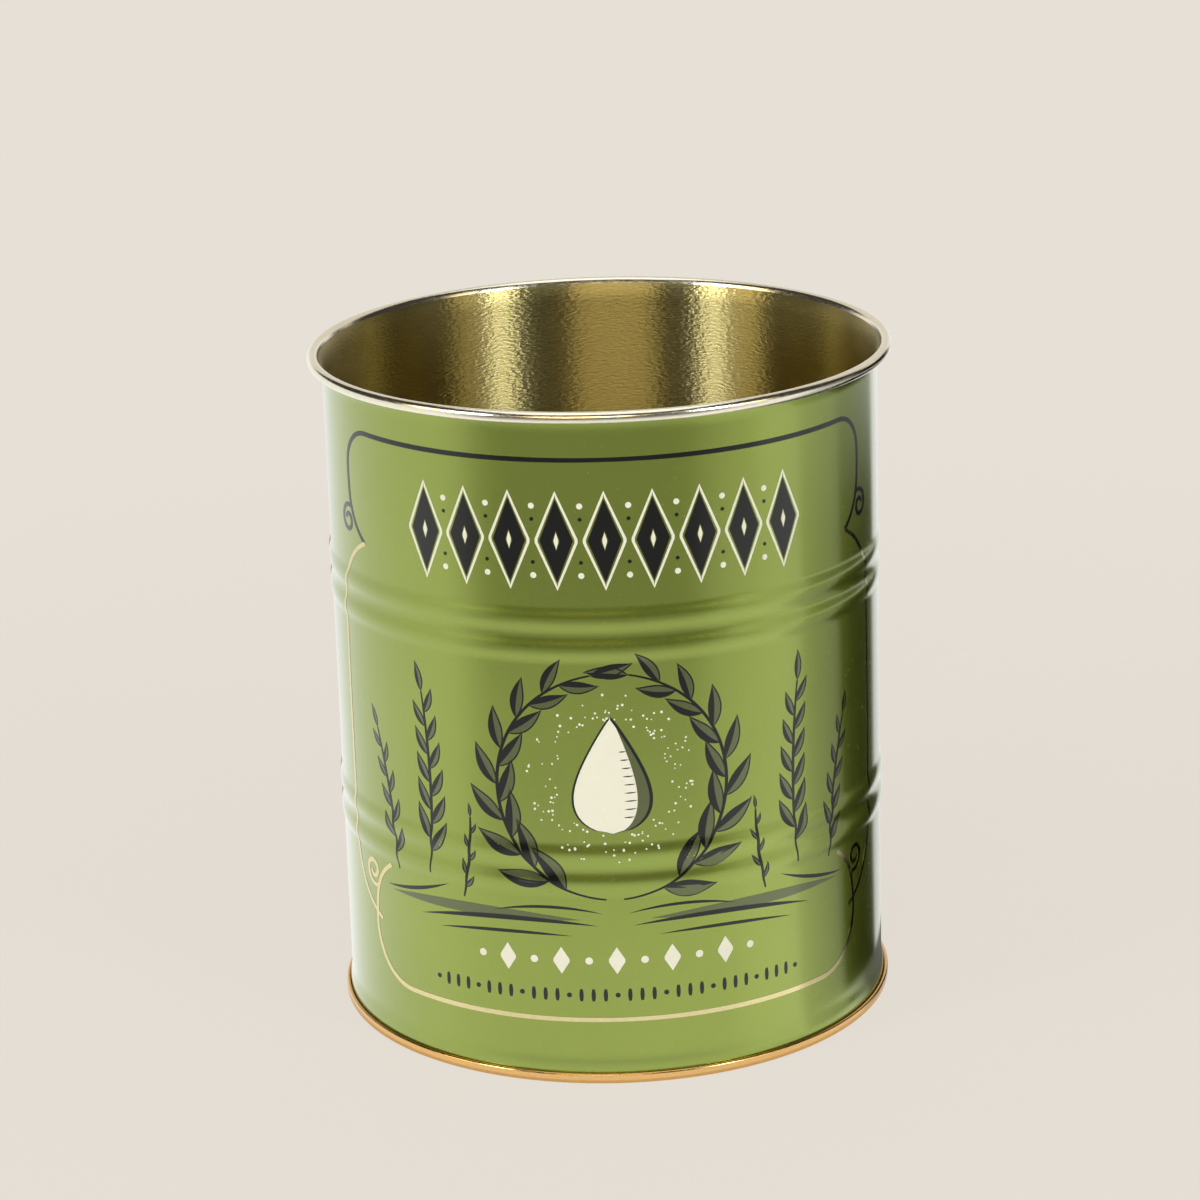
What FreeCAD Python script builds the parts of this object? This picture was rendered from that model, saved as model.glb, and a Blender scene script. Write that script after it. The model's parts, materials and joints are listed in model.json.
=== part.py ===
import FreeCAD, Part
import math
import os

# Round open tin of rolled tinplate, standing on its double-seamed base.
# Millimetres, +Z up, origin at the centre of the ring that the tin stands on.

# Overall sizes
HEIGHT = 160.0
WALL_OUTER_D = 130.0

# Sheets
BODY_SHEET = 0.28
END_SHEET = 0.28

# Rim: the wall bends gently out into a short flare, which rolls over into a hollow curl
RIM_OVERHANG = 3.5
CURL_D = 2.7
MOUTH_BEND_R = 10.0
FLARE_TURN_DEG = 25.0
CURL_END_TURN_DEG = 325.0

# Beads: two pairs of raised rings, placed as shares of the height
BEAD_PITCH = 7.0
BEAD_PROUD = 0.45
BEADS_PER_GROUP = 2
BEAD_GROUP_SHARES = (0.325, 0.675)

# Side seam: the two edges of the sheet lap here, on the left of the tin
LAP_WIDTH = 1.4
LAP_TURN_DEG = 178.0
LAP_END_MARGIN = 1.0

# Double seam at the base
SEAM_HEIGHT = 2.45
SEAM_CLEARANCE = 0.06
HOOK_END_CLEARANCE = 0.45
BASE_FLARE_OUT = 0.55
BASE_FLARE_RISE = 5.0
COMPOUND_THICKNESS = 0.15
BODY_BEND_SHARE = 0.35
STAND_BEND_SHARE = 0.65

# Bottom panel
PANEL_RECESS = 4.0
PANEL_CORNER_R = 1.2
PANEL_STEP_INSET = 9.0
PANEL_STEP_WIDTH = 3.0
PANEL_STEP_HEIGHT = 0.6

# Mid-sheet radii of the five layers of the double seam, from the inside out
LAYER_PITCH = BODY_SHEET / 2 + SEAM_CLEARANCE + END_SHEET / 2
WALL_R = WALL_OUTER_D / 2 - BODY_SHEET / 2
SEAM_WALL_R = WALL_R + BASE_FLARE_OUT
CHUCK_R = SEAM_WALL_R - LAYER_PITCH
COVER_HOOK_R = SEAM_WALL_R + LAYER_PITCH
BODY_HOOK_R = COVER_HOOK_R + LAYER_PITCH
OUTER_SEAM_R = BODY_HOOK_R + LAYER_PITCH

# Heights inside the double seam
COMPOUND_TOP_Z = END_SHEET + COMPOUND_THICKNESS
BODY_BEND_Z = COMPOUND_TOP_Z + BODY_SHEET / 2
BODY_HOOK_TIP_Z = SEAM_HEIGHT - END_SHEET - HOOK_END_CLEARANCE
COVER_HOOK_TIP_Z = COMPOUND_TOP_Z + BODY_SHEET + HOOK_END_CLEARANCE

# Bend radii, measured at the middle of the sheet
HOOK_BEND_R = BODY_BEND_SHARE * 2 * LAYER_PITCH
STAND_BEND_R = STAND_BEND_SHARE * 2 * LAYER_PITCH
CURL_R = (CURL_D - BODY_SHEET) / 2

# Turns and headings in radians: a heading of zero points outwards, and left turns are positive
QUARTER = math.pi / 2
UP = QUARTER
DOWN = -QUARTER
OUT = 0
FLARE_TURN = math.radians(FLARE_TURN_DEG)
CURL_END_TURN = math.radians(CURL_END_TURN_DEG)
AXIS_POINT = FreeCAD.Vector(0, 0, 0)
AXIS_DIRECTION = FreeCAD.Vector(0, 0, 1)


def heading_vector(heading):
    """Unit direction in the half-plane of radius and height."""
    return FreeCAD.Vector(math.cos(heading), 0, math.sin(heading))


class SheetPath:
    """Middle line of a bent sheet: straight runs and tangent arcs, drawn at radius and height."""

    def __init__(self, radius, height, heading):
        self.at = FreeCAD.Vector(radius, 0, height)
        self.heading = heading
        self.pieces = []

    def run(self, length):
        start = self.at
        self.at = start + heading_vector(self.heading) * length
        self.pieces.append(("run", start, self.at, heading_vector(self.heading + QUARTER)))
        return self

    def climb_to(self, height):
        return self.run((height - self.at.z) / math.sin(self.heading))

    def reach_to(self, radius):
        return self.run((radius - self.at.x) / math.cos(self.heading))

    def bend(self, bend_r, turn):
        """Turn left by a positive angle, or right by a negative one."""
        side = math.copysign(1, turn)
        to_centre = heading_vector(self.heading + side * QUARTER)
        centre = self.at + to_centre * bend_r
        middle = centre - heading_vector(self.heading + side * QUARTER + turn / 2) * bend_r
        end = centre - heading_vector(self.heading + side * QUARTER + turn) * bend_r
        self.pieces.append(("bend", (self.at, middle, end), centre, side / bend_r))
        self.at = end
        self.heading += turn
        return self

    def ogee(self, shift, rise):
        """On an upward sheet, step the radius by a shift over a rise, with two equal arcs."""
        turn = 2 * math.atan2(shift, rise)
        bend_r = rise / (2 * math.sin(abs(turn)))
        return self.bend(bend_r, -turn).bend(bend_r, turn)

    def side(self, offset):
        """Edges of the line that lies an offset to the left of the path."""
        edges = []
        for kind, *data in self.pieces:
            if kind == "run":
                start, end, left = data
                edges.append(Part.LineSegment(start + left * offset, end + left * offset))
            else:
                points, centre, curvature = data
                grow = 1 - offset * curvature
                edges.append(Part.Arc(*[centre + (point - centre) * grow for point in points]))
        return [edge.toShape() for edge in edges]

    def face(self, left_offset, right_offset):
        """Face between two offsets of the path, closed by square ends."""
        left = self.side(left_offset)
        right = self.side(right_offset)
        caps = []
        for pick in (0, -1):
            ends = [edges[pick].Vertexes[pick].Point for edges in (left, right)]
            caps.append(Part.LineSegment(*ends).toShape())
        wire = Part.Wire(Part.__sortEdges__(left + caps + right))
        return Part.Face(wire)

    def sheet(self, thickness):
        return self.face(thickness / 2, -thickness / 2)


def revolved(face, turn=4 * QUARTER):
    return face.revolve(AXIS_POINT, AXIS_DIRECTION, math.degrees(turn))


def add_beads(path):
    """Raise each group of touching beads on an upward wall."""
    group_height = BEADS_PER_GROUP * BEAD_PITCH
    for share in BEAD_GROUP_SHARES:
        path.climb_to(share * HEIGHT - group_height / 2)
        for _ in range(BEADS_PER_GROUP):
            path.ogee(BEAD_PROUD, BEAD_PITCH / 2)
            path.ogee(-BEAD_PROUD, BEAD_PITCH / 2)
    return path


def flare_run():
    """Length of the straight flare from the bend of the mouth to the curl, which gives the rim its overhang."""
    bend_reach = MOUTH_BEND_R * (1 - math.cos(FLARE_TURN))
    curl_reach = CURL_R * (1 + math.cos(FLARE_TURN))
    return (RIM_OVERHANG - bend_reach - curl_reach) / math.sin(FLARE_TURN)


def wall_top_z():
    """Height where the plain wall ends and the bend of the mouth begins."""
    bend_rise = MOUTH_BEND_R * math.sin(FLARE_TURN)
    flare_rise = flare_run() * math.cos(FLARE_TURN)
    curl_rise = CURL_R * (1 - math.sin(FLARE_TURN)) + BODY_SHEET / 2
    return HEIGHT - curl_rise - flare_rise - bend_rise


def body_wall():
    """Rolled sheet: body hook, base flare, beaded wall, flared mouth and hollow curl."""
    path = SheetPath(BODY_HOOK_R, BODY_HOOK_TIP_Z, DOWN)
    path.climb_to(BODY_BEND_Z + HOOK_BEND_R)
    path.bend(HOOK_BEND_R, -QUARTER)
    path.reach_to(SEAM_WALL_R + HOOK_BEND_R)
    path.bend(HOOK_BEND_R, -QUARTER)
    path.climb_to(SEAM_HEIGHT)
    path.ogee(-BASE_FLARE_OUT, BASE_FLARE_RISE)
    add_beads(path)
    path.climb_to(wall_top_z())
    path.bend(MOUTH_BEND_R, -FLARE_TURN)
    path.run(flare_run())
    path.bend(CURL_R, FLARE_TURN - CURL_END_TURN)
    wall = revolved(path.sheet(BODY_SHEET))
    return wall.fuse(side_lap()).removeSplitter()


def side_lap():
    """Second thickness of sheet where the wall's edges lap, outside the wall."""
    path = SheetPath(WALL_R, SEAM_HEIGHT + BASE_FLARE_RISE + LAP_END_MARGIN, UP)
    add_beads(path)
    path.climb_to(wall_top_z() - LAP_END_MARGIN)
    strip = path.face(-BODY_SHEET / 2, -BODY_SHEET / 2 - BODY_SHEET)
    lap_turn = LAP_WIDTH / WALL_R
    strip.rotate(AXIS_POINT, AXIS_DIRECTION, LAP_TURN_DEG - math.degrees(lap_turn) / 2)
    return revolved(strip, lap_turn)


def bottom_end():
    """Pressed end: stepped panel, chuck wall, standing ring, seam wall and cover hook."""
    panel_z = PANEL_RECESS + END_SHEET / 2
    step_r = CHUCK_R - PANEL_STEP_INSET
    step_turn = 2 * math.atan2(PANEL_STEP_HEIGHT, PANEL_STEP_WIDTH)
    step_bend_r = PANEL_STEP_WIDTH / (2 * math.sin(step_turn))
    path = SheetPath(0, panel_z - PANEL_STEP_HEIGHT, OUT)
    path.reach_to(step_r - PANEL_STEP_WIDTH)
    path.bend(step_bend_r, step_turn).bend(step_bend_r, -step_turn)
    path.reach_to(CHUCK_R - PANEL_CORNER_R)
    path.bend(PANEL_CORNER_R, -QUARTER)
    path.climb_to(END_SHEET / 2 + STAND_BEND_R)
    path.bend(STAND_BEND_R, QUARTER)
    path.reach_to(OUTER_SEAM_R - STAND_BEND_R)
    path.bend(STAND_BEND_R, QUARTER)
    path.climb_to(SEAM_HEIGHT - END_SHEET / 2 - LAYER_PITCH)
    path.bend(LAYER_PITCH, 2 * QUARTER)
    path.climb_to(COVER_HOOK_TIP_Z)
    return revolved(path.sheet(END_SHEET))


def seam_compound():
    """Sealing ring between the standing ring of the end and the bend of the body hook."""
    path = SheetPath(CHUCK_R + STAND_BEND_R, END_SHEET + COMPOUND_THICKNESS / 2, OUT)
    path.reach_to(OUTER_SEAM_R - STAND_BEND_R)
    return revolved(path.sheet(COMPOUND_THICKNESS))


os.makedirs("parts", exist_ok=True)
for make in (body_wall, bottom_end, seam_compound):
    solid = make()
    solid.exportStep(os.path.join("parts", make.__name__ + ".step"))
    box = solid.BoundBox
    print(make.__name__, solid.isValid(), len(solid.Solids), "volume", round(solid.Volume, 2),
          "x", round(box.XMin, 3), round(box.XMax, 3), "z", round(box.ZMin, 3), round(box.ZMax, 3))
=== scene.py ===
# %% [markdown]
# # An open round tin, printed green outside and lacquered gold inside
# The tin is two sheets of tinplate: a rolled body and a pressed bottom, hooked together in a double seam.
# The CAD model already holds their sizes, so this lesson loads it as a fixed frame and dresses it.
# Each sheet is drawn as a bent line and spun round the axis, much as the real one is rolled and pressed.

# %% Load the frame
import json
import math
import random

import bmesh
import bpy
from mathutils import Matrix, Vector

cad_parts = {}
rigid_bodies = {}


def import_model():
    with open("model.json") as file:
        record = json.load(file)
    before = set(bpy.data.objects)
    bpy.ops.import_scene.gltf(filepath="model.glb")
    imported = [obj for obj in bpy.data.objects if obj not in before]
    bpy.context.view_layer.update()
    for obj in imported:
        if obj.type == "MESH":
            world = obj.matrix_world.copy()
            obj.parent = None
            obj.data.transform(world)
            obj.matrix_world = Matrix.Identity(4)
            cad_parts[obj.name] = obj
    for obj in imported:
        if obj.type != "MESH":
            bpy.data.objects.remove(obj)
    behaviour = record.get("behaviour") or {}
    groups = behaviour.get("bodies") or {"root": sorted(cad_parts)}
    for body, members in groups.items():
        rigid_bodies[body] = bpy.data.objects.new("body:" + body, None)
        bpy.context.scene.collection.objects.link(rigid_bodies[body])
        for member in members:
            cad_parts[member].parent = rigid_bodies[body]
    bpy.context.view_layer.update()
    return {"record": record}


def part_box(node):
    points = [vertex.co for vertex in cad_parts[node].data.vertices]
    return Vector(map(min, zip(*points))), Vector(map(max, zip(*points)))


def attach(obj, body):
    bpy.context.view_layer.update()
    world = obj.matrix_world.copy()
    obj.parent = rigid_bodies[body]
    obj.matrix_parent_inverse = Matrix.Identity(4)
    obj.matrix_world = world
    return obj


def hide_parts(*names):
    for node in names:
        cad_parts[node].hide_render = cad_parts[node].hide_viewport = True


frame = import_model()

# %% [markdown]
# ## Sizes
# Three sizes are read from the frame: the height, the inside radius of the mouth and the panel's level.
# The rest are the tinsmith's own sizes, such as the sheet's gauge and the seam's height.
# They are the CAD model's values, written here once in millimetres.
# Blender works in metres, so every millimetre value is multiplied by MM.

# %% Sizes of the tin
MM = 0.001
QUARTER = math.pi / 2

wall_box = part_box("body_wall")
end_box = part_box("bottom_end")
mouth = next(m for m in frame["record"]["mounts"] if m["name"] == "mouth")

SHEET = 0.28 * MM
HEIGHT = wall_box[1].z
WALL_R = mouth["dims"]["r_mm"] * MM + SHEET / 2

RIM_OVERHANG = 3.5 * MM
CURL_R = 1.35 * MM - SHEET / 2
MOUTH_BEND_R = 10.0 * MM
FLARE_TURN = math.radians(25)
CURL_END_TURN = math.radians(325)

BEAD_PITCH = 7.0 * MM
BEAD_PROUD = 0.45 * MM
BEADS_PER_GROUP = 2
BEAD_GROUP_SHARES = (0.325, 0.675)

SEAM_HEIGHT = 2.45 * MM
LAYER_PITCH = SHEET + 0.06 * MM
BASE_FLARE_OUT = 0.55 * MM
BASE_FLARE_RISE = 5.0 * MM
COMPOUND = 0.15 * MM
HOOK_END_CLEARANCE = 0.45 * MM
HOOK_BEND_R = 0.35 * 2 * LAYER_PITCH
STAND_BEND_R = 0.65 * 2 * LAYER_PITCH

PANEL_CORNER_R = 1.2 * MM
PANEL_STEP_INSET = 9.0 * MM
PANEL_STEP_WIDTH = 3.0 * MM
PANEL_STEP_HEIGHT = 0.6 * MM

print("height", round(HEIGHT / MM, 2), "wall radius", round(WALL_R / MM, 2),
      "rim radius", round(wall_box[1].x / MM, 2))

# %% [markdown]
# ## Shader arithmetic
# A material is a graph of nodes, which is long-winded to wire by hand.
# The small class below wraps one output socket, so that adding or multiplying two of them adds a Math node.
# Every other node comes from Graph.node, which sets the node's options first and then fills its sockets.

# %% A socket that does arithmetic
class Value:
    """One shader value. Arithmetic on it adds Math nodes to its graph."""

    def __init__(self, graph, socket):
        self.graph = graph
        self.socket = socket

    def __add__(self, other):
        return self.graph.math("ADD", self, other)

    __radd__ = __add__

    def __sub__(self, other):
        return self.graph.math("SUBTRACT", self, other)

    def __rsub__(self, other):
        return self.graph.math("SUBTRACT", other, self)

    def __mul__(self, other):
        return self.graph.math("MULTIPLY", self, other)

    __rmul__ = __mul__


class Graph:
    """The node graph of one material or of the world."""

    def __init__(self, owner):
        self.owner = owner
        owner.use_nodes = True
        self.tree = owner.node_tree
        self.tree.nodes.clear()

    def node(self, kind, settings=None, inputs=None, out=0):
        made = self.tree.nodes.new(kind)
        for name, setting in (settings or {}).items():
            if name == "stops":
                self.set_stops(made.color_ramp, setting)
            else:
                setattr(made, name, setting)
        for key, value in (inputs or {}).items():
            if isinstance(value, Value):
                self.tree.links.new(value.socket, made.inputs[key])
            else:
                made.inputs[key].default_value = value
        return Value(self, made.outputs[out]) if len(made.outputs) else made

    @staticmethod
    def set_stops(ramp, stops):
        while len(ramp.elements) < len(stops):
            ramp.elements.new(1)
        for element, (place, colour) in zip(ramp.elements, stops):
            element.position = place
            element.color = colour

    def math(self, operation, a, b=0.0):
        return self.node("ShaderNodeMath", {"operation": operation}, {0: a, 1: b})

    def mix(self, factor, a, b):
        """Blend two colours; sockets 0, 6 and 7 are the Mix node's colour factor, A and B."""
        return self.node("ShaderNodeMix", {"data_type": "RGBA"}, {0: factor, 6: a, 7: b}, out=2)

    def noise(self, vector, scale, detail=2.0):
        inputs = {"Vector": vector, "Scale": scale, "Detail": detail}
        return self.node("ShaderNodeTexNoise", None, inputs)

    def ramp(self, factor, low, high):
        """Stretch the span from low to high over nought to one."""
        inputs = {"Value": factor, "From Min": low, "From Max": high}
        return self.node("ShaderNodeMapRange", {"clamp": True}, inputs)

    def place(self):
        return self.node("ShaderNodeTexCoord", out="Object")

    def parts(self, vector):
        """The three numbers of a vector."""
        split = self.node("ShaderNodeSeparateXYZ", None, {0: vector}).socket.node
        return [Value(self, socket) for socket in split.outputs]

    def length(self, vector):
        return self.node("ShaderNodeVectorMath", {"operation": "LENGTH"}, {0: vector}, out="Value")

    def bump(self, height, distance):
        inputs = {"Height": height, "Strength": 1.0, "Distance": distance}
        return self.node("ShaderNodeBump", None, inputs)

    def finish(self, inputs):
        shader = self.node("ShaderNodeBsdfPrincipled", None, inputs)
        self.node("ShaderNodeOutputMaterial", None, {"Surface": shader})
        return self.owner


def srgb(red, green, blue):
    """A colour as seen on screen, from 0 to 255, turned into the linear light that Blender mixes."""
    parts = [c / 255 for c in (red, green, blue)]
    linear = [c / 12.92 if c <= 0.04045 else ((c + 0.055) / 1.055) ** 2.4 for c in parts]
    return (*linear, 1.0)


print("shader helpers ready, mid grey is", [round(c, 3) for c in srgb(128, 128, 128)[:3]])

# %% [markdown]
# ## Finishes
# The outside is green ink under a clear stoving varnish. Thin green ink lets the tinplate shine through,
# so it is mostly metallic with a soft gleam, and the varnish above it is a full, sharp coat.
# Cream ink hides the metal, so its metallic share is nought. The tint and the black let some of it through.
# Real print is never one flat colour: a broad drift in the ink and a fine mottle are mixed in by noise.

# %% Varnished print
DRIFT_SCALE, MOTTLE_SCALE = 22.0, 700.0
DRIFT_SHARE = 0.7
CLOUD_SPAN = (0.3, 0.7)
INK_ROUGHNESS = 0.26
GLOSS_SPREAD = 0.06
VARNISH_ROUGHNESS, VARNISH_IOR = 0.03, 1.5


def varnished(name, colour, metal, coat=1.0, drift=0.06):
    """Printing ink on tinplate, under clear gloss varnish."""
    graph = Graph(bpy.data.materials.new(name))
    place = graph.place()
    broad = graph.ramp(graph.noise(place, DRIFT_SCALE), *CLOUD_SPAN)
    mottle = graph.noise(place, MOTTLE_SCALE)
    shade = DRIFT_SHARE * broad + (1 - DRIFT_SHARE) * mottle
    light = [min(1.0, c * (1 + drift)) for c in colour[:3]] + [1.0]
    dark = [c * (1 - drift) for c in colour[:3]] + [1.0]
    return graph.finish({
        "Base Color": graph.mix(shade, dark, light),
        "Metallic": metal,
        "Roughness": (INK_ROUGHNESS - GLOSS_SPREAD / 2) + GLOSS_SPREAD * mottle,
        "Coat Weight": coat,
        "Coat Roughness": VARNISH_ROUGHNESS,
        "Coat IOR": VARNISH_IOR,
    })


green_print = varnished("green_print", srgb(141, 158, 58), metal=0.85)
tint_ink = varnished("tint_ink", srgb(88, 98, 52), metal=0.6)
black_ink = varnished("black_ink", srgb(14, 15, 12), metal=0.7, coat=0.7)
cream_ink = varnished("cream_ink", srgb(228, 230, 218), metal=0.0, drift=0.03)
print("inks:", [m.name for m in (green_print, tint_ink, black_ink, cream_ink)])

# %% [markdown]
# The inside, the rim and the base are tinplate under gold lacquer: a metal with a warm colour.
# Rolled steel has a fine grain along the sheet, which runs round the tin, so highlights stretch up and down.
# The grain is noise squeezed in height and stretched along the wall, read from the angle round the axis.
# The bottom panel stays flat, so its grain runs straight across it.
# The gold ink and the bare tin beside the side lap come from the same function, in other colours and gloss.

# %% Gold lacquer
GRAIN_ROUND, GRAIN_UP = 45.0, 2000.0
GRAIN_ALONG_PANEL, GRAIN_ACROSS_PANEL = 600.0, 1900.0
FLECK_SPAN = (0.35, 0.65)
FLECK_SHARE = 0.6
CLOUD_SCALE = 30.0
LACQUER_SHADE = 0.88
STRETCH_QUARTER_TURN = 0.25


def lacquered(name, colour, roughness, stretch, grain_depth, round_axis=True):
    """Gold-lacquered tinplate. Its rolling grain runs round the tin, or straight across a flat panel."""
    graph = Graph(bpy.data.materials.new(name))
    place = graph.place()
    x, y, z = graph.parts(place)
    if round_axis:
        along = {"X": graph.math("ARCTAN2", y, x) * GRAIN_ROUND, "Y": z * GRAIN_UP}
    else:
        along = {"X": x * GRAIN_ALONG_PANEL, "Y": y * GRAIN_ACROSS_PANEL}
    grain = graph.noise(graph.node("ShaderNodeCombineXYZ", None, along), scale=1.0, detail=1.0)
    fleck = graph.ramp(grain, *FLECK_SPAN)
    cloud = graph.ramp(graph.noise(place, CLOUD_SCALE), *CLOUD_SPAN)
    dark = [c * LACQUER_SHADE for c in colour[:3]] + [1.0]
    return graph.finish({
        "Base Color": graph.mix(FLECK_SHARE * fleck + (1 - FLECK_SHARE) * cloud, dark, colour),
        "Metallic": 1.0,
        "Roughness": (roughness - GLOSS_SPREAD / 2) + GLOSS_SPREAD * fleck,
        "Anisotropic": stretch,
        "Anisotropic Rotation": STRETCH_QUARTER_TURN,
        "Normal": graph.bump(grain, grain_depth * MM),
    })


gold_inside = lacquered("gold_inside", srgb(188, 176, 119), 0.36, 1.0, 0.095)
gold_rim = lacquered("gold_rim", srgb(244, 237, 214), 0.2, 0.0, 0.001)
gold_panel = lacquered("gold_panel", srgb(204, 182, 108), 0.32, 0.0, 0.006, round_axis=False)
gold_seam = lacquered("gold_seam", srgb(228, 182, 116), 0.2, 0.0, 0.002)
gold_ink = lacquered("gold_ink", srgb(226, 212, 158), 0.14, 0.0, 0.001)
bare_tin = lacquered("bare_tin", srgb(206, 200, 176), 0.5, 0.0, 0.006)
print("lacquers:", [m.name for m in (gold_inside, gold_rim, gold_panel, gold_seam, gold_ink, bare_tin)])

# %% [markdown]
# ## Drawing a bent sheet
# A pen walks along the middle of the sheet: run goes straight on, bend goes round an arc.
# Both are bmesh operators on the last vertex: an extrude for a run, and a small spin for a bend.
# Spinning the finished line once round the axis gives the sheet, and Solidify gives it its gauge.

# %% A pen for sheet metal
BEND_STEP = math.radians(5)
FEWEST_BEND_STEPS = 3
SEGMENTS = 288
MERGE_GAP = 0.001 * MM


def heading_vector(heading):
    return Vector((math.cos(heading), 0, math.sin(heading)))


class SheetPen:
    """Draws the middle line of a bent sheet, at radius x and height z."""

    def __init__(self, radius, height, heading):
        self.bm = bmesh.new()
        self.tip = self.bm.verts.new((radius, 0, height))
        self.heading = heading

    def run(self, length):
        self.tip = bmesh.ops.extrude_vert_indiv(self.bm, verts=[self.tip])["verts"][0]
        bmesh.ops.translate(self.bm, verts=[self.tip], vec=heading_vector(self.heading) * length)

    def climb_to(self, height):
        self.run((height - self.tip.co.z) / math.sin(self.heading))

    def reach_to(self, radius):
        self.run((radius - self.tip.co.x) / math.cos(self.heading))

    def bend(self, bend_r, turn):
        side = math.copysign(1, turn)
        centre = self.tip.co + heading_vector(self.heading + side * QUARTER) * bend_r
        steps = max(FEWEST_BEND_STEPS, math.ceil(abs(turn) / BEND_STEP))
        made = bmesh.ops.spin(self.bm, geom=[self.tip], cent=centre, axis=(0, -1, 0), angle=turn, steps=steps)
        self.tip = next(v for v in made["geom_last"] if isinstance(v, bmesh.types.BMVert))
        self.heading += turn

    def ogee(self, shift, rise):
        turn = 2 * math.atan2(shift, rise)
        bend_r = rise / (2 * math.sin(abs(turn)))
        self.bend(bend_r, -turn)
        self.bend(bend_r, turn)

    def spun(self, angle=2 * math.pi, steps=SEGMENTS):
        """Spin the line about the tin's axis, close its seam and pole, and hand over the mesh."""
        full = math.isclose(angle, 2 * math.pi)
        bmesh.ops.spin(self.bm, geom=self.bm.verts[:] + self.bm.edges[:], cent=(0, 0, 0), axis=(0, 0, 1),
                       angle=angle, steps=steps, use_merge=full)
        bmesh.ops.remove_doubles(self.bm, verts=self.bm.verts, dist=MERGE_GAP)
        bmesh.ops.recalc_face_normals(self.bm, faces=self.bm.faces)
        return self.bm


def linked(name, bm, materials):
    """Turn a bmesh into an object of the scene."""
    mesh = bpy.data.meshes.new(name)
    bm.to_mesh(mesh)
    bm.free()
    for material in materials:
        mesh.materials.append(material)
    made = bpy.data.objects.new(name, mesh)
    bpy.context.collection.objects.link(made)
    return made


def made_piece(name, bm, materials):
    """Turn a bmesh into a smooth piece that rides on the tin."""
    for face in bm.faces:
        face.smooth = True
    piece = linked(name, bm, materials)
    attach(piece, "root")
    return piece


SHARP = math.radians(40)


def thickened(piece, thickness, offset=0, inner_slot_step=0):
    """Give a sheet its thickness, for good, and keep its cut edges crisp."""
    gauge = piece.modifiers.new("gauge", "SOLIDIFY")
    gauge.thickness = thickness
    gauge.offset = offset
    gauge.use_even_offset = True
    gauge.material_offset = inner_slot_step
    bpy.context.view_layer.update()
    solid = bpy.data.meshes.new_from_object(piece.evaluated_get(bpy.context.evaluated_depsgraph_get()))
    piece.modifiers.clear()
    piece.data = solid
    solid.set_sharp_from_angle(angle=SHARP)
    return piece


print("sheet pen ready:", SEGMENTS, "segments round the tin")

# %% [markdown]
# ## The body
# One sheet makes the hook in the base seam, the flare above it, the beaded wall, the flared mouth
# and the curl.
# Its outside is printed and its inside is gold. The curl rolls outwards, so the inside face shows on the rim,
# where the lacquer is paler: the curl has a gold of its own. A strip beside the side lap is bare of ink.
# Each look takes two material slots: Solidify gives its inner face the slot after the outer one.

# %% Body sheet
seam_wall_r = WALL_R + BASE_FLARE_OUT
chuck_r = seam_wall_r - LAYER_PITCH
outer_seam_r = seam_wall_r + 3 * LAYER_PITCH
compound_top = SHEET + COMPOUND
bend_reach = MOUTH_BEND_R * (1 - math.cos(FLARE_TURN))
flare_reach = RIM_OVERHANG - bend_reach - CURL_R * (1 + math.cos(FLARE_TURN))
flare_rise = flare_reach / math.tan(FLARE_TURN)
curl_rise = CURL_R * (1 - math.sin(FLARE_TURN)) + SHEET / 2
wall_top_z = HEIGHT - curl_rise - flare_rise - MOUTH_BEND_R * math.sin(FLARE_TURN)
bead_centres = [share * HEIGHT + (i - (BEADS_PER_GROUP - 1) / 2) * BEAD_PITCH
                for share in BEAD_GROUP_SHARES for i in range(BEADS_PER_GROUP)]


TOUCHING = 0.01 * MM


def add_beads(pen):
    for centre in bead_centres:
        if centre - BEAD_PITCH / 2 > pen.tip.co.z + TOUCHING:
            pen.climb_to(centre - BEAD_PITCH / 2)
        pen.ogee(BEAD_PROUD, BEAD_PITCH / 2)
        pen.ogee(-BEAD_PROUD, BEAD_PITCH / 2)


LAP_TURN = math.radians(178)
LAP_WIDTH = 1.4 * MM
LAP_END_MARGIN = 1.0 * MM
LAP_MARGIN = 3.6 * MM
CURL_SLOT, BARE_SLOT = 2, 4


def face_outwards(bm):
    """Turn the sheet so that its wall faces away from the axis."""
    wall = max(bm.faces, key=lambda face: face.calc_area())
    if wall.normal.dot(Vector((*wall.calc_center_median().xy, 0))) < 0:
        bmesh.ops.reverse_faces(bm, faces=bm.faces)


pen = SheetPen(seam_wall_r + 2 * LAYER_PITCH, SEAM_HEIGHT - SHEET - HOOK_END_CLEARANCE, -QUARTER)
pen.climb_to(compound_top + SHEET / 2 + HOOK_BEND_R)
pen.bend(HOOK_BEND_R, -QUARTER)
pen.reach_to(seam_wall_r + HOOK_BEND_R)
pen.bend(HOOK_BEND_R, -QUARTER)
pen.climb_to(SEAM_HEIGHT)
pen.ogee(-BASE_FLARE_OUT, BASE_FLARE_RISE)
add_beads(pen)
pen.climb_to(wall_top_z)
pen.bend(MOUTH_BEND_R, -FLARE_TURN)
pen.reach_to(WALL_R + bend_reach + flare_reach)
curl_centre = pen.tip.co + heading_vector(pen.heading - QUARTER) * CURL_R
pen.bend(CURL_R, FLARE_TURN - CURL_END_TURN)
body_mesh = pen.spun()
face_outwards(body_mesh)
for face in body_mesh.faces:
    middle = face.calc_center_median()
    off_curl = math.hypot(middle.xy.length - curl_centre.x, middle.z - curl_centre.z)
    off_lap = math.remainder(math.atan2(middle.y, middle.x) - LAP_TURN, 2 * math.pi) * WALL_R
    if off_curl < CURL_R + SHEET:
        face.material_index = CURL_SLOT
    elif abs(off_lap) < LAP_MARGIN:
        face.material_index = BARE_SLOT
body_looks = [green_print, gold_inside, green_print, gold_rim, bare_tin, gold_inside]
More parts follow.
